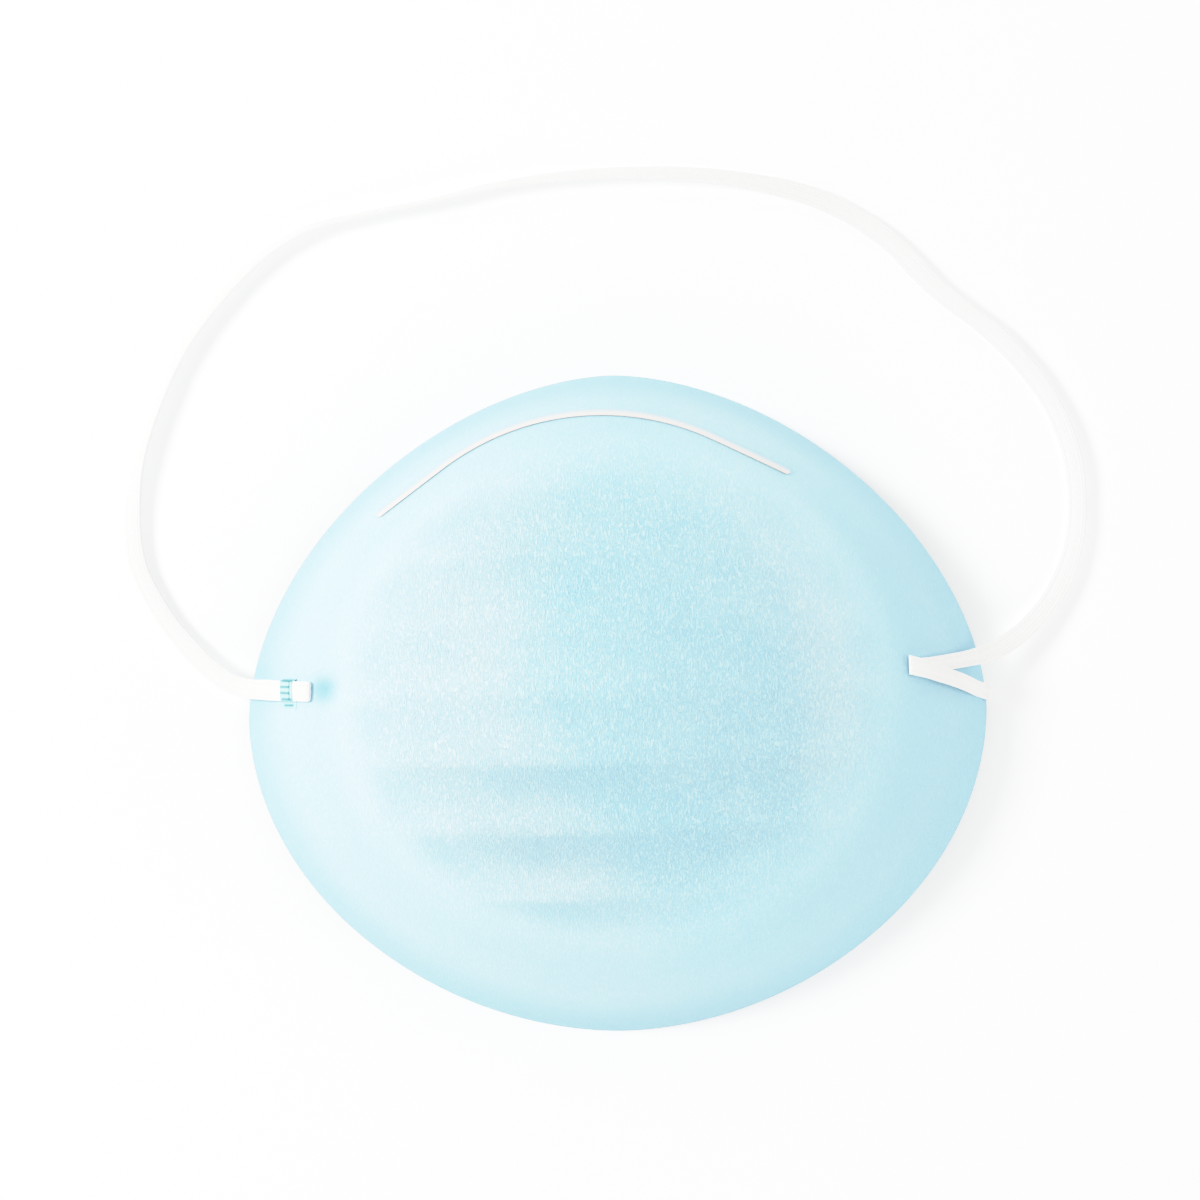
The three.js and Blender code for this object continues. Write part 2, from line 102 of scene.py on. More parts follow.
DIMPLE = (-0.0536, 0.0039)
DIMPLE_RADIUS, DIMPLE_DEPTH = 0.0023, 0.0016
SLIT = (0.0555, 0.0062)
SLIT_HALF_LENGTH, SLIT_HALF_OPENING = 0.0016, 0.0004
SLIT_GIVE, SLIT_GIVE_ENDS = 0.003, 3

RIM_RAYS, RIM_HALVINGS = 4097, 40
CUP_ROWS, CUP_COLUMNS = 256, 168


def plan_point(share, angle):
    """Plan of a polar place on the panel's oval: its half sizes times the share, which is 1 at the edge."""
    x = PANEL_HALF_WIDTH * share * np.cos(angle)
    return x, PANEL_MIDDLE_Y + PANEL_HALF_HEIGHT * share * np.sin(angle)


def oval_share(x, y):
    """Polar place of a plan point on the panel's oval, the reverse of plan_point."""
    across, along = x / PANEL_HALF_WIDTH, (y - PANEL_MIDDLE_Y) / PANEL_HALF_HEIGHT
    return np.hypot(across, along), np.arctan2(along, across)


def rim_share(angle):
    """Share at which a ray meets the rim, found by halving. The rim is two half superellipses."""
    inside, outside = np.ones_like(angle), np.full_like(angle, 2.0)
    for _ in range(RIM_HALVINGS):
        middle = (inside + outside) / 2
        x, y = plan_point(middle, angle)
        above = y - WIDEST_LINE_Y
        exponent = np.where(above > 0, NOSE_EXPONENT, CHIN_EXPONENT)
        reach = np.where(above > 0, NOSE_REACH, CHIN_REACH)
        within = np.abs(x / CUP_HALF_WIDTH) ** exponent + np.abs(above / reach) ** exponent < 1
        inside = np.where(within, middle, inside)
        outside = np.where(within, outside, middle)
    return (inside + outside) / 2


RAY_ANGLES = np.linspace(-math.pi, math.pi, RIM_RAYS)
RAY_SHARES = rim_share(RAY_ANGLES)


def outward_share(share, angle):
    """0 at the panel's edge, 1 at the rim."""
    return (share - 1) / (np.interp(angle, RAY_ANGLES, RAY_SHARES) - 1)


def smooth_step(value, low, high):
    """0 below low, 1 above high, and the cubic 3t^2 - 2t^3 between them."""
    t = np.clip((value - low) / (high - low), 0, 1)
    return t * t * (3 - 2 * t)


def bell(value, middle, width):
    """1 in the middle, falling on both sides as e to the minus square of the distance in widths."""
    return np.exp(-((value - middle) / width) ** 2)


def rim_lift(angle):
    """Height of the trimmed edge: level at the nose and the chin, raised at the cheeks."""
    return CHEEK_LIFT * smooth_step(np.abs(np.cos(angle)), CHEEK_LIFT_FROM, CHEEK_LIFT_FULL)


def dome_height(share, angle):
    """Panel: a hyperbola in the share, which makes a cone with a round crown. Border: an even fall, with a
    power of the outward share that rolls the rim down."""
    fall = math.hypot(1, CROWN_ROUNDING) - CROWN_ROUNDING
    slope = (np.hypot(share, CROWN_ROUNDING) - CROWN_ROUNDING) / fall
    panel = PANEL_EDGE_HEIGHT + PANEL_RISE * (1 - slope)
    outward = np.maximum(outward_share(share, angle), 0)
    drop = (1 - ROLL_SHARE) * outward + ROLL_SHARE * outward ** ROLL_POWER
    lift = rim_lift(angle)
    border = lift + (PANEL_EDGE_HEIGHT - lift) * (1 - drop)
    return np.where(share < 1, panel, border)


def channel_press(y, share):
    """Depth of the channels: half a sine from each ridge to the next, averaged over a few places near y so
    that the ridges are round, and fading at the panel's edge."""
    near = y[..., None, None] + RIDGE_ROUNDING * np.linspace(-1, 1, RIDGE_SAMPLES)[:, None]
    down = np.clip((CHANNEL_RIDGE - near) / CHANNEL_PITCH, 0, 1)
    depth = (CHANNEL_DEPTH * np.sin(math.pi * down)).sum(-1).mean(-1)
    return depth * (1 - smooth_step(share, CHANNEL_FADE_FROM, 1)) * (1 + CHANNEL_END_DEEPENING * share ** 4)


def cup_height(x, y):
    """Height of the outer face: the dome, averaged along the ray across the panel's edge, less the channels
    and the dimple."""
    share, angle = oval_share(x, y)
    blend = PANEL_EDGE_BLEND * (1 - smooth_step(np.abs(share - 1), PANEL_EDGE_NEAR, PANEL_EDGE_FAR))
    steps = range(-2, 3)
    dome = sum(dome_height(share + step * blend, angle) for step in steps) / len(steps)
    dimple = DIMPLE_DEPTH * bell(np.hypot(x - DIMPLE[0], y - DIMPLE[1]), 0, DIMPLE_RADIUS)
    return dome - channel_press(y, share) - dimple


def unit(vectors):
    """Vectors divided by their lengths."""
    return vectors / np.linalg.norm(vectors, axis=-1, keepdims=True)


def cup_normal(x, y, reach=0.0004):
    """Direction square to the outer face, from the height's slopes by central differences."""
    slope_x = (cup_height(x + reach, y) - cup_height(x - reach, y)) / (2 * reach)
    slope_y = (cup_height(x, y + reach) - cup_height(x, y - reach)) / (2 * reach)
    return unit(np.stack([-slope_x, -slope_y, np.ones_like(slope_x)], -1))


def open_slit(x, y, column):
    """Plan moved sideways so that the cells right of a column open into a lens, by a shift that dies away
    from it."""
    seam = (x[:, column] + x[:, column + 1])[:, None] / 2
    along = (y - SLIT[1]) / SLIT_HALF_LENGTH
    lens = SLIT_HALF_OPENING * np.sqrt(np.maximum(1 - along ** 2, 0))
    near = np.exp(-np.abs(x - seam) / SLIT_GIVE) * (1 - smooth_step(np.abs(along), 1, SLIT_GIVE_ENDS))
    return x + near * (SLIT[0] - seam + np.sign(x - seam) * lens)


def grid_cells(number):
    """Four corners of every cell in a grid of point numbers, turning the same way round each."""
    return np.stack([number[:-1, :-1], number[:-1, 1:], number[1:, 1:], number[1:, :-1]], -1)


def add_piece(name, points, faces, marks):
    """Smooth mesh from points and faces, with a number or a vector on every point for each mark."""
    mesh = bpy.data.meshes.new(name)
    mesh.from_pydata(points.tolist(), [], faces)
    for mark, values in marks.items():
        kind, field = ("FLOAT", "value") if values.ndim == 1 else ("FLOAT_VECTOR", "vector")
        mesh.attributes.new(mark, kind, "POINT").data.foreach_set(field, values.astype(np.float32).ravel())
    mesh.shade_smooth()
    piece = bpy.data.objects.new(name, mesh)
    bpy.context.collection.objects.link(piece)
    return piece


# A square grid is bent onto the cup's round plan, so the rows run along the channels and no pole is left.
grid_s, grid_t = np.meshgrid(np.linspace(-1, 1, CUP_COLUMNS + 1), np.linspace(-1, 1, CUP_ROWS + 1))
disc_x, disc_y = grid_s * np.sqrt(1 - grid_t ** 2 / 2), grid_t * np.sqrt(1 - grid_s ** 2 / 2)
ray = np.arctan2(disc_y, disc_x)
lip_share = np.interp(ray, RAY_ANGLES, RAY_SHARES) - LIP_SHARE
plan_x, plan_y = plan_point(np.hypot(disc_x, disc_y) * lip_share, ray)

right_column = -CUP_COLUMNS // 8
slit_row = np.argmin(np.abs(plan_y[:, right_column] - SLIT[1]))
slit_column = np.argmin(np.abs((plan_x[slit_row, 1:] + plan_x[slit_row, :-1]) / 2 - SLIT[0]))
cell_y = (plan_y[1:, slit_column] + plan_y[:-1, slit_column]) / 2
plan_x = open_slit(plan_x, plan_y, slit_column)

share, ray = (part.ravel() for part in oval_share(plan_x, plan_y))
plan_x, plan_y = plan_x.ravel(), plan_y.ravel()
outer = np.stack([plan_x, plan_y, cup_height(plan_x, plan_y)], -1)
inner = outer - WALL * cup_normal(plan_x, plan_y)
inner[:, 2] = np.maximum(inner[:, 2], rim_lift(ray))

count = len(outer)
number = np.arange(count).reshape(CUP_ROWS + 1, CUP_COLUMNS + 1)
cells = grid_cells(number)
kept = np.ones(cells.shape[:2], bool)
kept[np.abs(cell_y - SLIT[1]) < SLIT_HALF_LENGTH, slit_column] = False
cells = cells[kept]
sides = np.concatenate([cells[:, [corner, (corner + 1) % 4]] for corner in range(4)])
open_sides = sides[~np.isin(sides[:, 1] * count + sides[:, 0], sides[:, 0] * count + sides[:, 1])]
on_rim = np.zeros(number.shape, bool)
on_rim[[0, -1]] = on_rim[:, [0, -1]] = True
at_rim = on_rim.ravel()[open_sides].all(1)

# The trimmed edge is a small round lip below the rim, then a level cut to the inner face.
rim = np.flatnonzero(on_rim)
rim_x, rim_y = plan_point(np.interp(ray[rim], RAY_ANGLES, RAY_SHARES), ray[rim])
rim_edge = np.stack([rim_x, rim_y, rim_lift(ray[rim])], -1)
lip = rim_edge + [0, 0, LIP_HEIGHT]
cut = rim_edge - LIP_TURN_IN * unit(rim_edge * [1, 1, 0])
lip_number = np.zeros(count, int)
lip_number[rim] = 2 * count + np.arange(len(rim))
from_rim, to_rim = open_sides[at_rim].T
from_lip, to_lip = lip_number[from_rim], lip_number[to_rim]
from_cut, to_cut = from_lip + len(rim), to_lip + len(rim)
from_slit, to_slit = open_sides[~at_rim].T
cup_faces = np.concatenate([
    cells,
    cells[:, ::-1] + count,
    np.stack([to_rim, from_rim, from_lip, to_lip], -1),
    np.stack([to_lip, from_lip, from_cut, to_cut], -1),
    np.stack([to_cut, from_cut, from_rim + count, to_rim + count], -1),
    np.stack([to_slit, from_slit, from_slit + count, to_slit + count], -1),
])

# The felt is deeper in colour towards the rim and in a band below each ridge. This is partly denser felt
# where the press bit
# and partly painted shade: heaviest in the channels left of the middle and on the right cheek's rim, with
# painted light on the left cheek. Two spots beside the strap's tail are painted shadow. The crown and the
# panel's right edge are deeper by painted shade.
CHANNEL_SHADE = np.array([0.25, 0.3, 0.25, 0.42, 0.85, 0.85, 0.9])
BAND_FULL, BAND_FADES, BAND_GONE = 0.12, 0.25, 0.8
BAND_MIDDLE_X, BAND_SPREAD = -0.011, 0.020
BAND_LEFT_SHADE, BAND_LEFT_FULL = 0.25, 0.02
BAND_ENDS_FROM = 0.88
DENT_SHADE, DENT_SHARE, DENT_SPREAD = 0.45, 0.9, 0.06
DENT_FROM, DENT_FULL = 0.02, 0.03
# Painted shadow: of the strap's tail in its dimple, and of the strap on the rim above it.
SHADOW_SPOTS = (
    # x, y, radius, strength
    (-0.0549, 0.0041, 0.0024, 2.7), (-0.0676, 0.0078, 0.0018, 1.2),
)
RIM_SHADE_BANDS = (
    # strength, outward share where it starts, outward share where it is full
    (0.36, -0.15, 0.3), (0.64, 0.55, 0.98),
)
RIGHT_CHEEK_SHADE_BANDS = (
    (0.3, -0.5, 0.2), (-0.25, 0.5, 0.98),
)
CHEEK_FROM, CHEEK_FULL, LEFT_CHEEK_PAINTED_LIGHT = 0.02, 0.06, 0.12
CROWN, CROWN_HALF_WIDTH, CROWN_HALF_HEIGHT = (0.010, 0.003), 0.029, 0.057
CROWN_SLANT, CROWN_FADES, CROWN_GONE = 0.18, 0.55, 1.15
EDGE_SHADE, EDGE_SHARE, EDGE_SPREAD = 0.5, 0.97, 0.16
CREPE_FADES, CREPE_GONE = 0.65, 1.1


def channel_band_shade(x, y, share):
    """Painted shade in the channels, partly denser felt: from each ridge half way to the next, most of all
    left of the middle where the light falls across them, and in a dent at both ends of each channel."""
    down = np.clip((CHANNEL_RIDGE - y[..., None]) / CHANNEL_PITCH, 0, 1)
    band = smooth_step(down, 0, BAND_FULL) * (1 - smooth_step(down, BAND_FADES, BAND_GONE))
    strength = (band * CHANNEL_SHADE).sum(-1)
    reach = bell(x, BAND_MIDDLE_X, BAND_SPREAD) + BAND_LEFT_SHADE * smooth_step(-x, 0, BAND_LEFT_FULL)
    at_ends = bell(share, DENT_SHARE, DENT_SPREAD) * smooth_step(np.abs(x), DENT_FROM, DENT_FULL)
    dents = np.sin(math.pi * down).sum(-1) * at_ends
    return strength * reach * (1 - smooth_step(share, BAND_ENDS_FROM, 1)) + DENT_SHADE * dents


def border_steps(bands, outward):
    """Sum of smooth steps across the border, each with its own strength."""
    return sum(strength * smooth_step(outward, low, high) for strength, low, high in bands)


def both_faces(values, at_edge):
    """A mark that is the same on the outer and the inner face, with one value along the trimmed edge."""
    return np.concatenate([values, values, np.full(2 * len(rim), at_edge)])


outward = outward_share(share, ray)
# Rim tint: partly the denser trimmed rim, partly painted shade on the rolled rim, more on the right cheek,
# with painted light on the left.
rim_shade = border_steps(RIM_SHADE_BANDS, outward)
rim_shade += smooth_step(plan_x, CHEEK_FROM, CHEEK_FULL) * border_steps(RIGHT_CHEEK_SHADE_BANDS, outward)
rim_shade -= LEFT_CHEEK_PAINTED_LIGHT * smooth_step(-plan_x, CHEEK_FROM, CHEEK_FULL)
pressed_shade = channel_band_shade(plan_x, plan_y, share)
for spot_x, spot_y, radius, strength in SHADOW_SPOTS:
    pressed_shade += strength * bell(np.hypot(plan_x - spot_x, plan_y - spot_y), 0, radius)
creped = 1 - smooth_step(share, CREPE_FADES, CREPE_GONE)
# Painted shade on the crown, where the side lights reach least, and on the panel's right edge, away from the
# key light.
from_crown = np.hypot(
    (plan_x - CROWN[0] + CROWN_SLANT * (plan_y - CROWN[1])) / CROWN_HALF_WIDTH,
    (plan_y - CROWN[1]) / CROWN_HALF_HEIGHT,
)
crown_shade = 1 - smooth_step(from_crown, CROWN_FADES, CROWN_GONE)
right_edge = bell(share, EDGE_SHARE, EDGE_SPREAD) * np.sqrt((1 + np.cos(ray)) / 2)
crown_shade += EDGE_SHADE * right_edge * (1 - crown_shade)
cup = add_piece("moulded_cup", np.concatenate([outer, inner, lip, cut]), cup_faces.tolist(), {
    "inside": np.repeat([0.0, 1.0, 0.0, 1.0], [count, count, len(rim), len(rim)]),
    "rim": both_faces(rim_shade, 1.0),
    "pressed_shade": both_faces(pressed_shade, 0.0),
    "crown_shade": both_faces(crown_shade, 0.0),
    "panel": both_faces(creped, 0.0),
})


class Wire:
    """A socket in a finish's node tree. Sums and products of wires and numbers add Math nodes."""

    def __init__(self, tree, socket=None):
        self.tree, self.socket = tree, socket

    def node(self, kind, settings, inputs, out=0):
        """Any node: its settings come first, then the values or wires of its sockets."""
        made = self.tree.nodes.new("ShaderNode" + kind)
        for name, value in settings.items():
            setattr(made, name, value)
        for name, value in inputs.items():
            if isinstance(value, Wire):
                self.tree.links.new(value.socket, made.inputs[name])
            else:
                made.inputs[name].default_value = value
        return Wire(self.tree, made.outputs[out] if made.outputs else None)

    def math(self, operation, *values):
        """A Math node on values or wires, or on the wire itself where none is given."""
        return self.node("Math", {"operation": operation}, dict(enumerate(values or (self,))))

    def __add__(self, other):
        return self.math("ADD", self, other)

    def __sub__(self, other):
        return self.math("SUBTRACT", self, other)

    def __rsub__(self, other):
        return self.math("SUBTRACT", other, self)

    def __mul__(self, other):
        return self.math("MULTIPLY", self, other)

    def __pow__(self, other):
        return self.math("POWER", self, other)

    __radd__, __rmul__ = __add__, __mul__

    def place(self):
        """Place in the object's own coordinates, in metres."""
        return self.node("TexCoord", {}, {}, out="Object")

    def mark(self, name, out="Fac"):
        """Number, or vector, that the piece's points carry under a name."""
        return self.node("Attribute", {"attribute_name": name}, {}, out=out)

    def axis(self, name):
        """One of the three numbers of a vector."""
        return self.node("SeparateXYZ", {}, {"Vector": self}, out=name)

    def wave(self, pitch):
        """0 to 1 and back along a length, once for each pitch."""
        return 0.5 + 0.5 * (self * (2 * math.pi / pitch)).math("SINE")

    def rise(self, low, high):
        """0 below low, 1 above high, smooth between."""
        inputs = {"Value": self, "From Min": low, "From Max": high}
        return self.node("MapRange", {"interpolation_type": "SMOOTHSTEP"}, inputs)

    def between(self, first, second):
        """The first colour where the wire is 0, the second where it is 1."""
        colours = [value if isinstance(value, Wire) else (*value, 1) for value in (first, second)]
        return self.node("Mix", {"data_type": "RGBA"}, {0: self, 6: colours[0], 7: colours[1]}, out=2)

    def noise(self, lumps_per_metre, detail, distortion=0.0):
        """Noise over coordinates, with a number of lumps for each metre of every axis."""
        scaled = self.node("Mapping", {}, {"Vector": self, "Scale": lumps_per_metre})
        inputs = {"Vector": scaled, "Scale": 1, "Detail": detail, "Roughness": 0.5, "Distortion": distortion}
        return self.node("TexNoise", {}, inputs)


def start_finish(name):
    """Empty material and a first wire to build its nodes from."""
    material = bpy.data.materials.new(name)
    material.use_nodes = True
    material.node_tree.nodes.clear()
    return material, Wire(material.node_tree)


def end_finish(start, inputs, height, depth):
    """Shader from its inputs, with a height from 0 to 1 turned into relief of a depth in metres."""
    relief = start.node("Bump", {}, {"Strength": 1, "Distance": depth, "Height": height})
    surface = start.node("BsdfPrincipled", {}, {**inputs, "Normal": relief})
    start.node("OutputMaterial", {}, {"Surface": surface})


# Felt of the cup: a crepe of short upright wrinkles, curled fibres over it, and a few loose pale ones.
FELT_DEEP_AND_SHADED = (0.505, 0.79, 0.935)
FELT_PALE = (0.70, 0.92, 1.0)
FELT_CROWN_SHADE_DEEP = (0.38, 0.735, 0.93)
FELT_CROWN_SHADE_PALE = (0.615, 0.905, 1.0)
FELT_PRESSED_SHADE, PRESSED_SHADE_MIX = (0.36, 0.64, 0.79), 0.4
FELT_RIM_SHADE, RIM_SHADE_MIX = (0.355, 0.635, 0.775), 0.8
FELT_FLECK, FLECK_DYE = (0.80, 0.95, 1.0), 0.5
LINING = (0.80, 0.86, 0.87)
CREPE_PER_METRE, CREPE_LOW, CREPE_HIGH = (3900, 1150, 1150), 0.37, 0.63
FIBRES_PER_METRE, FIBRE_THINNESS = (1500, 1500, 1500), 7
CLOUDS_PER_METRE, CLOUDS_LOW, CLOUDS_HIGH = (90, 130, 130), 0.25, 0.75
FLECKS_PER_METRE, FLECKS_LOW, FLECKS_HIGH = (2600, 800, 800), 0.64, 0.78
BORDER_CREPE, BORDER_RELIEF, FELT_RELIEF = 0.35, 0.25, 0.00017

felt, start = start_finish("pressed_felt")
place = start.place()
on_panel = start.mark("panel")
crepe = place.noise(CREPE_PER_METRE, detail=2, distortion=0.9).rise(CREPE_LOW, CREPE_HIGH)
curls = place.noise(FIBRES_PER_METRE, detail=1, distortion=1.6) * 2 - 1
fibres = (1 - curls.math("ABSOLUTE")) ** FIBRE_THINNESS
clouds = place.noise(CLOUDS_PER_METRE, detail=3).rise(CLOUDS_LOW, CLOUDS_HIGH)
flecks = place.noise(FLECKS_PER_METRE, detail=1, distortion=1.2).rise(FLECKS_LOW, FLECKS_HIGH)
weave = BORDER_CREPE + (1 - BORDER_CREPE) * on_panel
# Darker in the crepe's hollows as painted shade in the wrinkles, with tone that differs at random from the
# fibres and clouds.
crepe_shade_and_tone = 0.5 + weave * (0.75 * crepe + 0.25 * fibres + 0.25 * clouds - 0.5)
plain_felt = crepe_shade_and_tone.between(FELT_DEEP_AND_SHADED, FELT_PALE)
# Painted shade on the crown and the panel's right edge.
body = start.mark("crown_shade").between(plain_felt, crepe_shade_and_tone.between(FELT_CROWN_SHADE_DEEP, FELT_CROWN_SHADE_PALE))
# Painted shade in the channels, partly denser felt, and painted shadow beside the strap's tail.
body = (PRESSED_SHADE_MIX * start.mark("pressed_shade")).between(body, FELT_PRESSED_SHADE)
# Rim tint: partly denser felt, partly painted shade on the rolled rim.
body = (RIM_SHADE_MIX * start.mark("rim")).between(body, FELT_RIM_SHADE)
body = (FLECK_DYE * flecks * weave).between(body, FELT_FLECK)
relief = (0.7 * crepe + 0.3 * fibres) * (BORDER_RELIEF + (1 - BORDER_RELIEF) * on_panel)
end_finish(start, {
    "Base Color": start.mark("inside").between(body, LINING),
    "Roughness": 0.75 - 0.2 * fibres,
    "Specular IOR Level": 0.4,
    "Sheen Weight": 0.12,
    "Sheen Roughness": 0.5,
}, relief, FELT_RELIEF)
cup.data.materials.append(felt)
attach(cup, "root")
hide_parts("cup")

# Nose clip
# A narrow strip of soft aluminium with a pale satin coat, sheared to length with round ends. It is glued
# along the top of the cup and bent by hand, with straight tails. Felt fibres lie over its upper edge, and
# its sheared lower edge shows bare metal, darkened with painted shadow of the gap beneath it.
CLIP_BEND, CLIP_BEND_RADIUS = (-0.0029, 0.0056), 0.0492
CLIP_BEND_LEFT, CLIP_BEND_RIGHT = math.radians(35.9), math.radians(26.5)
CLIP_REACH_LEFT, CLIP_REACH_RIGHT = 0.0464, 0.0385
CLIP_WIDTH, CLIP_THICKNESS, CLIP_STAND = 0.0020, 0.00026, 0.00002
CLIP_STATIONS, CLIP_END_TRIM = 240, 0.00002
CLIP_SECTION_POINTS, CLIP_SQUARENESS = 48, 0.32
COAT = (0.83, 0.80, 0.765)
COAT_WORN = (0.79, 0.755, 0.71)
COAT_FIBRES, FIBRES_FROM, FIBRES_FULL = (0.52, 0.72, 0.83), 0.0005, -0.0010
BARE_EDGE_AND_GAP_SHADE, EDGE_SHADE_FROM, EDGE_SHADE_FULL = (0.60, 0.57, 0.55), 0.00094, 0.00099
DRAWN_LINES_PER_METRE = (9000, 60, 1)
SCUFFS_PER_METRE, SCUFFS_LOW, SCUFFS_HIGH = (700, 700, 700), 0.55, 0.8
SCUFFED_EDGE, COAT_RELIEF = 0.0003, 0.00002


def off_front(x, y, stand):
    """Points at a distance in front of the cup's outer face, or behind it where that is negative."""
    return np.stack([x, y, cup_height(x, y)], -1) + cup_normal(x, y) * stand[..., None]


def round_end(distance, radius, least):
    """Share of a size near an end: a quarter circle from the least share up to 1."""
    near = np.clip(distance / radius, 0, 1)
    return least + (1 - least) * np.sqrt(1 - (1 - near) ** 2)


def flat_section(points, squareness):
    """Points round a flat section of half sizes 1: a circle with its corners pushed out by a power."""
    turn = np.linspace(0, 2 * math.pi, points, endpoint=False)
    shape = np.stack([np.cos(turn), np.sin(turn)], -1)
    return np.sign(shape) * np.abs(shape) ** squareness


def carry_section(middle, across, outward, half_width, half_thickness, section):
    """Closed tube: at each station the section is set across and outward of the middle, scaled by the half
    sizes there."""
    wide, thick = section[:, 0] * half_width[:, None], section[:, 1] * half_thickness
    points = middle[:, None] + across[:, None] * wide[..., None] + outward[:, None] * thick[..., None]
    number = np.arange(wide.size).reshape(wide.shape)
    turned = np.roll(number, -1, 1)
    quads = np.stack([number[:-1], turned[:-1], turned[1:], number[1:]], -1).reshape(-1, 4)
    ends = [number[0, ::-1].tolist(), number[-1].tolist()]
    return points.reshape(-1, 3), quads.tolist() + ends, wide.ravel(), thick.ravel()


sweep = (1 - np.cos(np.linspace(0, math.pi, CLIP_STATIONS))) / 2
sweep = np.clip(sweep, CLIP_END_TRIM, 1 - CLIP_END_TRIM)
clip_run = (CLIP_REACH_LEFT + CLIP_REACH_RIGHT) * sweep - CLIP_REACH_RIGHT
from_end = np.minimum(clip_run + CLIP_REACH_RIGHT, CLIP_REACH_LEFT - clip_run)
clip_angle = np.clip(clip_run / CLIP_BEND_RADIUS, -CLIP_BEND_RIGHT, CLIP_BEND_LEFT)
clip_tail = clip_run - CLIP_BEND_RADIUS * clip_angle
clip_x = CLIP_BEND[0] - CLIP_BEND_RADIUS * np.sin(clip_angle) - clip_tail * np.cos(clip_angle)
clip_y = CLIP_BEND[1] + CLIP_BEND_RADIUS * np.cos(clip_angle) - clip_tail * np.sin(clip_angle)
clip_normal = cup_normal(clip_x, clip_y)
clip_along = np.stack([-np.cos(clip_angle), -np.sin(clip_angle), np.zeros_like(clip_angle)], -1)
clip_points, clip_faces, clip_wide, clip_thick = carry_section(
    off_front(clip_x, clip_y, np.full(CLIP_STATIONS, CLIP_STAND + CLIP_THICKNESS / 2)),
    unit(np.cross(clip_normal, clip_along)), clip_normal,
    CLIP_WIDTH / 2 * round_end(from_end, CLIP_WIDTH / 2, 0), np.full((CLIP_STATIONS, 1), CLIP_THICKNESS / 2),
    flat_section(CLIP_SECTION_POINTS, CLIP_SQUARENESS),
)
clip_lay = np.stack([clip_wide, np.repeat(clip_run, CLIP_SECTION_POINTS), clip_thick], -1)
clip = add_piece("nose_strip", clip_points, clip_faces, {"lay": clip_lay})

coat, start = start_finish("satin_coat")
lay = start.mark("lay", out="Vector")
to_crown = lay.axis("X")
# Crown-side edge: bare metal with painted shadow of the gap under the strip.
bare_and_gap_shade = to_crown.rise(EDGE_SHADE_FROM, EDGE_SHADE_FULL)
drawn = lay.noise(DRAWN_LINES_PER_METRE, detail=2)
scuffs = start.place().noise(SCUFFS_PER_METRE, detail=3).rise(SCUFFS_LOW, SCUFFS_HIGH)
covered = (to_crown + SCUFFED_EDGE * scuffs).rise(FIBRES_FROM, FIBRES_FULL)
tint = covered.between((0.4 * drawn + 0.35 * scuffs).between(COAT, COAT_WORN), COAT_FIBRES)
end_finish(start, {
    "Base Color": bare_and_gap_shade.between(tint, BARE_EDGE_AND_GAP_SHADE),
    "Metallic": 0.4 * bare_and_gap_shade,
    "Roughness": 0.42 + 0.18 * drawn - 0.1 * bare_and_gap_shade,
}, 0.6 * drawn + 0.4 * scuffs, COAT_RELIEF)
clip.data.materials.append(coat)
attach(clip, "root")
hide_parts("nose_clip")

# Head strap
# A flat white knitted elastic, 4 mm wide, with fine rubber cords along it. Its tail is welded to the left
# cheek, and the rest lies loose on the table in one loop up to the slit in the right cheek, twisting from
# flat to edge and back.
BAND_WIDTH, BAND_THICKNESS = 0.004, 0.0008
BAND_CORD, BAND_CORD_STAND = 0.00066, 0.16
BAND_LIFT = 0.00004
BAND_SEAT, SEAT_FROM, SEAT_FULL = 0.0003, 0.006, 0.0095
BAND_SECTION_POINTS, BAND_SQUARENESS = 56, 0.45
STATIONS_PER_POINT = 14
STRAP_ROUTE = np.array([
    # x, y, height of the underside, lean in degrees from standing on edge
    (-0.0574, 0.0038, 0.0174, -90), (-0.0603, 0.0039, 0.0153, -90), (-0.0632, 0.0040, 0.0129, -90),
    (-0.0664, 0.0042, 0.0099, -90), (-0.0700, 0.0045, 0.0062, -89), (-0.0736, 0.0056, 0.0040, -83),
    (-0.0784, 0.0094, 0.0018, -75), (-0.0834, 0.0150, 0.0004, -69), (-0.0873, 0.0209, 0, -65),
    (-0.0908, 0.0290, 0, -62), (-0.0914, 0.0380, 0, -56), (-0.0898, 0.0485, 0, -36),
    (-0.0862, 0.0587, 0, -29), (-0.0809, 0.0693, 0, -28), (-0.0738, 0.0786, 0, -28),
    (-0.0649, 0.0870, 0, -26), (-0.0570, 0.0914, 0, -20), (-0.0470, 0.0938, 0, -14),
    (-0.0345, 0.0960, 0, -13), (-0.0202, 0.0990, 0, -20), (-0.0050, 0.1005, 0, -31),
    (0.0105, 0.1006, 0, -40), (0.0265, 0.0988, 0, -56), (0.0410, 0.0948, 0, -80),
    (0.0526, 0.0877, 0, -100), (0.0626, 0.0774, 0, -110), (0.0742, 0.0677, 0, -115),
    (0.0825, 0.0574, 0, -119), (0.0871, 0.0468, 0, -122), (0.0883, 0.0360, 0, -122),
    (0.0869, 0.0263, 0.0002, -118), (0.0832, 0.0184, 0.0009, -110), (0.0774, 0.0120, 0.0028, -101),
    (0.0714, 0.0084, 0.0057, -94), (0.0670, 0.0073, 0.0095, -90), (0.0624, 0.0066, 0.0135, -90),
    (0.0582, 0.0061, 0.0168, -90),
])
STRAP_SHARE = 0.95
SLACK_WAVES = (
    # share of the half width, radians for each metre, radians at the tail
    (0.02, 260, 0), (0.015, 611, 1),
)
WELD = (-0.0614, 0.004)
TAIL_FROM_WELD, TAIL_FULL, TAIL_NARROWER, TAIL_THICKER = 0.0006, 0.0012, 0.02, 0.35
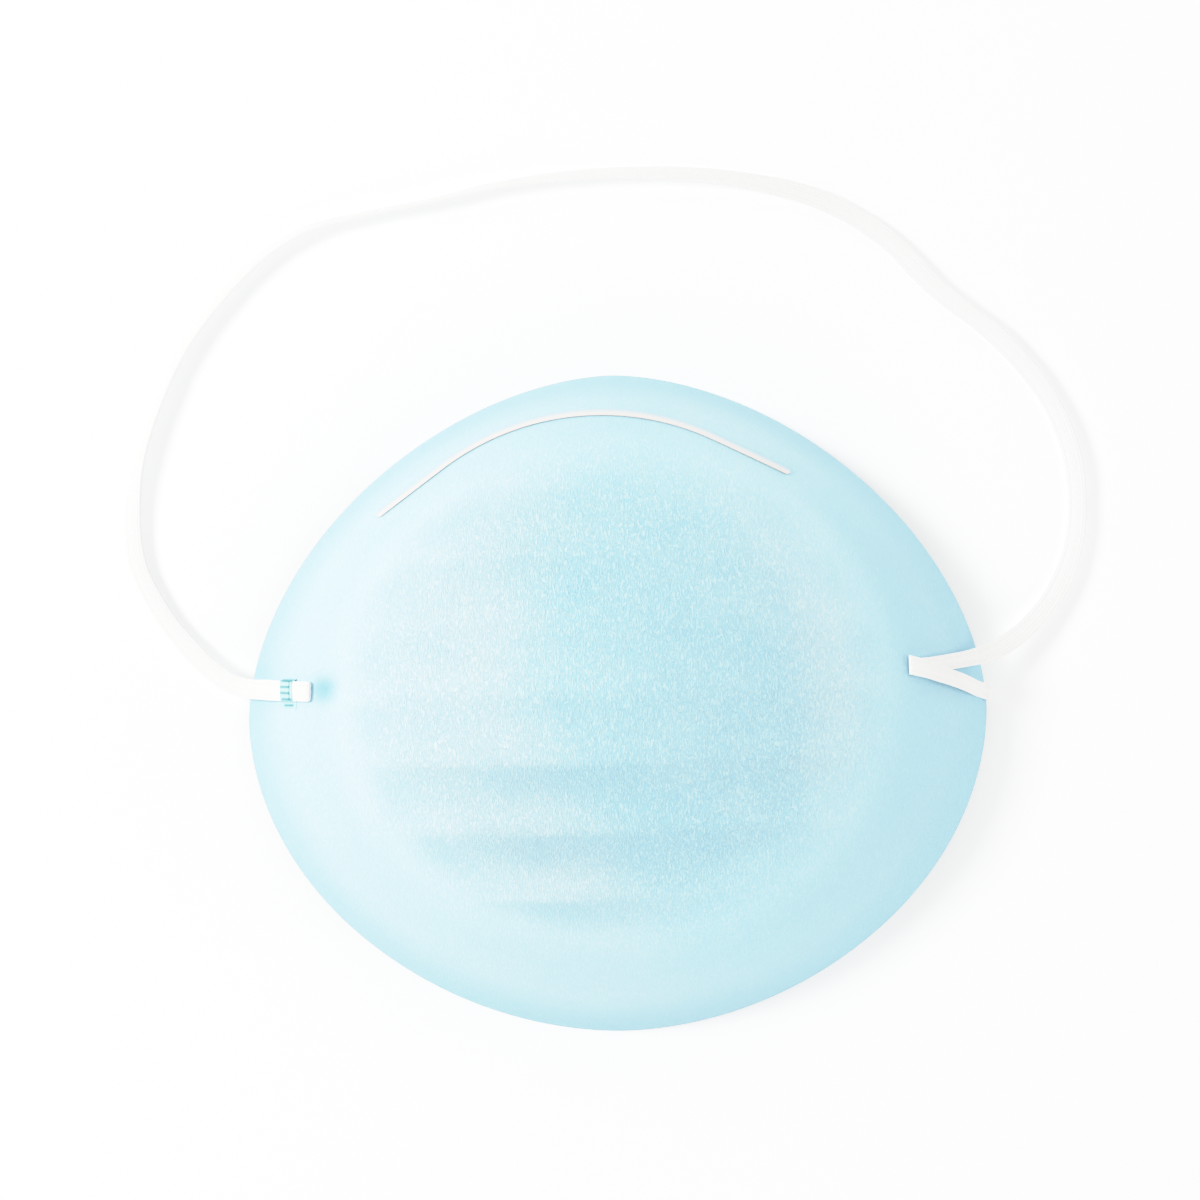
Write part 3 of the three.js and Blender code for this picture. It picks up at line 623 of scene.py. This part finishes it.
TAIL_END_RADIUS, TAIL_END_LEAST, TAIL_END_NARROWER = 0.0009, 0.45, 0.3
PINCH_REACH, PINCH_NARROWER, PINCH_THINNER = 0.0011, 0.04, 0.35
NECK_FROM, NECK_FULL, NECK_NARROWER = 0.022, 0.008, 0.2
ELASTIC_WHITE = (1.0, 0.985, 0.965)
ELASTIC_VALLEY_SHADE = (0.955, 0.94, 0.915)
STITCH_PITCH, STITCH_SLANT = 0.00045, 0.35
FUZZ_PER_METRE, SHADES_PER_METRE = (3500, 3500, 3500), (160, 160, 160)
KNIT_RELIEF = 0.00012


def smooth_line(points, per_point):
    """Centripetal Catmull-Rom line: each span is a cubic whose end slopes weigh the neighbours by the root
    of their distance."""
    ends = 2 * points[[0, -1]] - points[[1, -2]]
    p = np.concatenate([ends[:1], points, ends[1:]])
    d = np.sqrt(np.linalg.norm(np.diff(p, axis=0), axis=1))[:, None]
    before, here, after = d[:-2], d[1:-1], d[2:]
    p0, p1, p2, p3 = p[:-3], p[1:-2], p[2:-1], p[3:]
    leave = here * ((p1 - p0) / before - (p2 - p0) / (before + here) + (p2 - p1) / here)
    arrive = here * ((p2 - p1) / here - (p3 - p1) / (here + after) + (p3 - p2) / after)
    t = np.linspace(0, 1, per_point, endpoint=False)[:, None]
    spans = (p1[:, None] * (1 + t * t * (2 * t - 3)) + p2[:, None] * t * t * (3 - 2 * t)
             + leave[:, None] * t * (1 - t) ** 2 - arrive[:, None] * t * t * (1 - t))
    return np.concatenate([spans.reshape(-1, points.shape[1]), points[-1:]])


def run_length(points):
    """Length along a line at each of its points."""
    return np.concatenate([[0], np.cumsum(np.linalg.norm(np.diff(points, axis=0), axis=1))])


def add_band(name, middle, across, half_width, half_thickness):
    """Elastic band along a line: a flat section, with the rubber cords as a cosine on both faces."""
    along = unit(np.gradient(middle, axis=0))
    section = flat_section(BAND_SECTION_POINTS, BAND_SQUARENESS)
    cords = 1 + BAND_CORD_STAND * np.cos(2 * math.pi * section[:, 0] * BAND_WIDTH / 2 / BAND_CORD)
    points, faces, wide, thick = carry_section(
        middle, across, unit(np.cross(along, across)), half_width, half_thickness[:, None] * cords, section)
    run = np.repeat(run_length(middle), BAND_SECTION_POINTS)
    return add_piece(name, points, faces, {"lay": np.stack([wide, run, thick], -1)})


lean = np.radians(STRAP_ROUTE[:, 3])
band_half_height = BAND_WIDTH / 2 * np.abs(np.cos(lean)) + BAND_THICKNESS / 2 * np.abs(np.sin(lean))
on_cup = smooth_step(STRAP_ROUTE[:, 2], SEAT_FROM, SEAT_FULL)
strap_height = STRAP_ROUTE[:, 2] + band_half_height + BAND_LIFT - BAND_SEAT * on_cup
strap_line = smooth_line(np.column_stack([STRAP_ROUTE[:, :2], strap_height]), STATIONS_PER_POINT)
strap_lean = smooth_line(np.column_stack([np.arange(len(lean)), lean]), STATIONS_PER_POINT)[:, 1:]
strap_along = unit(np.gradient(strap_line, axis=0))
strap_outside = unit(np.cross([0, 0, 1], strap_along))
strap_upright = np.cross(strap_along, strap_outside)
strap_across = strap_upright * np.cos(strap_lean) + strap_outside * np.sin(strap_lean)
strap_run = run_length(strap_line)
weld_run = strap_run[np.argmin(np.hypot(*(strap_line[:, :2] - WELD).T))]
tail = 1 - smooth_step(strap_run, weld_run - TAIL_FULL, weld_run - TAIL_FROM_WELD)
tail_end = round_end(strap_run, TAIL_END_RADIUS, TAIL_END_LEAST)
pinch = bell(strap_run, weld_run, PINCH_REACH)
slack = sum(share * np.sin(strap_run * pace + begin) for share, pace, begin in SLACK_WAVES)
necked = smooth_step(strap_run, strap_run[-1] - NECK_FROM, strap_run[-1] - NECK_FULL)
strap_wide = STRAP_SHARE + slack * (1 - necked)
strap_wide = strap_wide - TAIL_NARROWER * tail - PINCH_NARROWER * pinch - NECK_NARROWER * necked
strap = add_band(
    "knitted_strap", strap_line, strap_across,
    BAND_WIDTH / 2 * strap_wide * (1 - TAIL_END_NARROWER + TAIL_END_NARROWER * tail_end),
    BAND_THICKNESS / 2 * (1 + TAIL_THICKER * tail - PINCH_THINNER * pinch) * tail_end,
)

elastic, start = start_finish("white_elastic")
place = start.place()
lay = start.mark("lay", out="Vector")
from_cord = lay.axis("X") + BAND_CORD / 4
cords = from_cord.wave(BAND_CORD)
zigzag = from_cord.math("PINGPONG", from_cord, BAND_CORD / 2)
stitches = (lay.axis("Y") + STITCH_SLANT * zigzag).wave(STITCH_PITCH)
fuzz = place.noise(FUZZ_PER_METRE, detail=2)
shades = place.noise(SHADES_PER_METRE, detail=2)
# The knit's valleys between cords and stitches are darker as painted shade, with tone that differs at
# random.
knit = 0.5 * cords + 0.35 * stitches + 0.15 * fuzz
end_finish(start, {
    "Base Color": (0.25 + 0.6 * knit + 0.15 * shades).rise(0, 0.75).between(ELASTIC_VALLEY_SHADE, ELASTIC_WHITE),
    "Roughness": 0.9 - 0.15 * cords,
    "Specular IOR Level": 0.3,
    "Sheen Weight": 0.2,
}, knit, KNIT_RELIEF)
strap.data.materials.append(elastic)
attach(strap, "root")
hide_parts("head_strap")

# Turned end of the strap
# The same band goes in through the slit, down behind the right cheek, round the trimmed rim and back over
# the front to the slit, where its end lies on top. It holds by its own stretch.
TURN_THROUGH_SLIT = np.array([
    # x, y, distance in front of the outer face
    (0.0581, 0.0061, 0.0005), (0.0568, 0.0060, 0.0004), (0.0559, 0.0059, 0.0001),
    (0.0556, 0.0058, -0.00065), (0.0559, 0.0057, -0.0015), (0.0568, 0.0054, -0.0018),
    (0.0600, 0.0042, -0.0018), (0.0640, 0.0027, -0.0018), (0.0676, 0.0014, -0.0018),
])
TURN_OVER_FRONT = np.array([
    (0.0690, 0.0008, 0.0005), (0.0674, 0.0014, 0.0005), (0.0654, 0.0022, 0.0009), (0.0632, 0.0030, 0.0014),
    (0.0600, 0.0042, 0.0014), (0.0568, 0.0054, 0.0014), (0.0540, 0.0063, 0.0008),
])
TURN_UNDER_RIM_Y = 0.0009
TURN_UNDER_RIM = np.array([
    # distance outside the rim, sideways, distance above its cut edge
    (-0.0020, 0, -0.0001), (-0.00075, 0, -0.0007), (0.0005, 0, -0.0001), (0.0005, 0, 0.0009),
])
TURN_STATIONS_PER_POINT = 12
TURN_END_RADIUS, TURN_END_LEAST = 0.0004, 0.6
TURN_SHARE, FLARE_WIDER, FLARE_LENGTH = 0.75, 0.15, 0.010

turn_ray = np.array([math.atan2((TURN_UNDER_RIM_Y - PANEL_MIDDLE_Y) / PANEL_HALF_HEIGHT, 1)])
turn_rim = np.concatenate([*plan_point(rim_share(turn_ray), turn_ray), rim_lift(turn_ray)])
turn_route = [off_front(*TURN_THROUGH_SLIT.T), turn_rim + TURN_UNDER_RIM, off_front(*TURN_OVER_FRONT.T)]
turn_line = smooth_line(np.concatenate(turn_route), TURN_STATIONS_PER_POINT)
turn_run = run_length(turn_line)
turn_end = round_end(turn_run[-1] - turn_run, TURN_END_RADIUS, TURN_END_LEAST)
flare = smooth_step(turn_run, turn_run[-1] - FLARE_LENGTH, turn_run[-1])
turn_along = unit(np.gradient(turn_line, axis=0))
turn_across = unit([0, 1, 0] - (1 - flare[:, None]) * turn_along * turn_along[:, 1:2])
turned = add_band(
    "turned_strap_end", turn_line, turn_across,
    BAND_WIDTH / 2 * (TURN_SHARE + FLARE_WIDER * flare), BAND_THICKNESS / 2 * turn_end,
)
turned.data.materials.append(elastic)
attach(turned, "root")
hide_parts("strap_turn")

# Weld
# A ridged welding tool melts the strap's tail into the felt of the left cheek. The melt is pale, with teal
# ridges from the tool, a seam at one side and a cap along the upper edge, and it is glossiest where it is
# deepest in colour.
WELD_SLANT = math.radians(1)
WELD_HALF_LENGTH = 0.0013
WELD_UP, WELD_DOWN = 0.0023, -0.0033
WELD_SKIN, WELD_BITE = 0.0001, 0.00005
WELD_OVER_BAND, OVER_BAND_TO, OFF_BAND_FROM = 0.0013, 0.0017, 0.0023
SUNK_FROM, SUNK_SHARE = 0.8, 0.5
WELD_RIDGE, WELD_RIDGES, RIDGE_SHARPNESS = 0.0001, 5, 2.2
RIDGE_WANDER, RIDGE_WANDER_PACE = 0.0002, 2.3
RIDGE_FADES, RIDGE_GONE = 0.55, 0.85
SEAM_AT, SEAM_WIDTH = 0.00072, 0.00012
CAP_AT, CAP_WIDTH, CAP_FADES = 0.0019, 0.0002, 0.0010
RIDGE_TINT, SEAM_TINT, CAP_TINT = 0.85, 0.6, 0.8
WELD_ROWS, WELD_COLUMNS = 120, 56
MELT_TEAL = (0.09, 0.33, 0.36)
MELT_PALE = (0.52, 0.80, 0.85)
MELT_GRAIN_PER_METRE, MELT_RELIEF = (2500, 2500, 2500), 0.00004


def add_weld():
    """Blanket over the strap: rows across it carry the ridges, which are raised cosines to a power, and its
    border falls to the felt on all four sides."""
    across = np.linspace(WELD_DOWN, WELD_UP, WELD_ROWS)[:, None]
    along = np.linspace(-WELD_HALF_LENGTH, WELD_HALF_LENGTH, WELD_COLUMNS)[None]
    x = WELD[0] + along * math.cos(WELD_SLANT) + across * math.sin(WELD_SLANT)
    y = WELD[1] - along * math.sin(WELD_SLANT) + across * math.cos(WELD_SLANT)
    over_band = 1 - smooth_step(np.abs(y - WELD[1]), OVER_BAND_TO, OFF_BAND_FROM)
    at_end = smooth_step(np.abs(along), WELD_HALF_LENGTH * SUNK_FROM, WELD_HALF_LENGTH)
    raised = (WELD_OVER_BAND - WELD_SKIN) * (over_band * (1 - SUNK_SHARE * at_end))
    phase = (across - WELD_DOWN) / (WELD_UP - WELD_DOWN) * WELD_RIDGES
    ridge = (0.5 - 0.5 * np.cos(2 * math.pi * phase)) ** RIDGE_SHARPNESS * np.ones_like(x)
    wander = np.abs(along + RIDGE_WANDER * np.sin(RIDGE_WANDER_PACE * phase + 1))
    side = 1 - smooth_step(wander, WELD_HALF_LENGTH * RIDGE_FADES, WELD_HALF_LENGTH * RIDGE_GONE)
    top, under = WELD_SKIN + raised + WELD_RIDGE * ridge * side, -WELD_BITE + raised
    number = np.arange(x.size).reshape(x.shape)
    cells = grid_cells(number).reshape(-1, 4)
    border = np.concatenate([number[0, :-1], number[:-1, -1], number[-1, :0:-1], number[:0:-1, 0]])
    after = np.roll(border, -1)
    walls = np.stack([after, border, border + x.size, after + x.size], -1)
    points = np.concatenate([off_front(x, y, stand).reshape(-1, 3) for stand in (top, under)])
    faces = np.concatenate([cells, cells[:, ::-1] + x.size, walls])
    seam = bell(along, SEAM_AT, SEAM_WIDTH) * over_band
    cap = bell(across, CAP_AT, CAP_WIDTH) * (1 - smooth_step(np.abs(along), CAP_FADES, WELD_HALF_LENGTH))
    crest = np.clip(RIDGE_TINT * ridge * side + SEAM_TINT * seam + CAP_TINT * cap, 0, 1).ravel()
    return add_piece("weld_ridges", points, faces.tolist(), {"crest": np.concatenate([crest, crest])})


weld = add_weld()
melt, start = start_finish("melted_felt")
crest = start.mark("crest")
grain = start.place().noise(MELT_GRAIN_PER_METRE, detail=3)
end_finish(start, {
    "Base Color": (crest * (0.7 + 0.6 * grain)).between(MELT_PALE, MELT_TEAL),
    "Roughness": 0.5 - 0.22 * crest,
}, grain, MELT_RELIEF)
weld.data.materials.append(melt)
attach(weld, "root")
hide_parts("strap_weld")

# Table and light
# A plain white table in a light tent: a small soft key light high on the left, and weaker, larger ones on
# the other sides.
TABLE_HALF, TABLE_BELOW = 1.5, 0.0002
TABLE_WHITE, TABLE_PALEST = (0.93, 0.93, 0.93), (0.95, 0.95, 0.95)
TABLE_GRAIN_PER_METRE, TABLE_RELIEF = (400, 400, 400), 0.00001
TABLE_GLOW, TENT_GLOW = 0.24, 0.595
LIGHTS = {
    # place, width, height, power
    "left": ((-0.79, 0.23, 0.74), 0.32, 0.32, 8.3),
    "right": ((1.05, -0.05, 0.33), 0.9, 0.5, 3.5),
    "nose_side": ((0.0, 0.95, 0.6), 0.9, 0.5, 2.4),
    "chin_side": ((0.0, -0.95, 0.6), 0.9, 0.5, 3.3),
}

corners = np.array([(-1, -1, 0), (1, -1, 0), (1, 1, 0), (-1, 1, 0)]) * TABLE_HALF - [0, 0, TABLE_BELOW]
table = add_piece("table", corners, [[0, 1, 2, 3]], {})
paper, start = start_finish("white_table")
grain = start.place().noise(TABLE_GRAIN_PER_METRE, detail=3)
end_finish(start, {
    "Base Color": grain.between(TABLE_WHITE, TABLE_PALEST),
    "Roughness": 0.9,
    "Emission Color": (1, 1, 1, 1),
    "Emission Strength": TABLE_GLOW,
}, grain, TABLE_RELIEF)
table.data.materials.append(paper)

for name, (spot, width, height, power) in LIGHTS.items():
    lamp = bpy.data.lights.new(name, "AREA")
    lamp.shape = "RECTANGLE"
    lamp.size, lamp.size_y, lamp.energy = width, height, power
    light = bpy.data.objects.new(name, lamp)
    light.location = spot
    light.rotation_euler = (-light.location).to_track_quat("-Z", "Y").to_euler()
    bpy.context.collection.objects.link(light)

tent = bpy.data.worlds.new("tent")
tent.use_nodes = True
glow = tent.node_tree.nodes["Background"]
glow.inputs["Color"].default_value = (1, 1, 1, 1)
glow.inputs["Strength"].default_value = TENT_GLOW
bpy.context.scene.world = tent
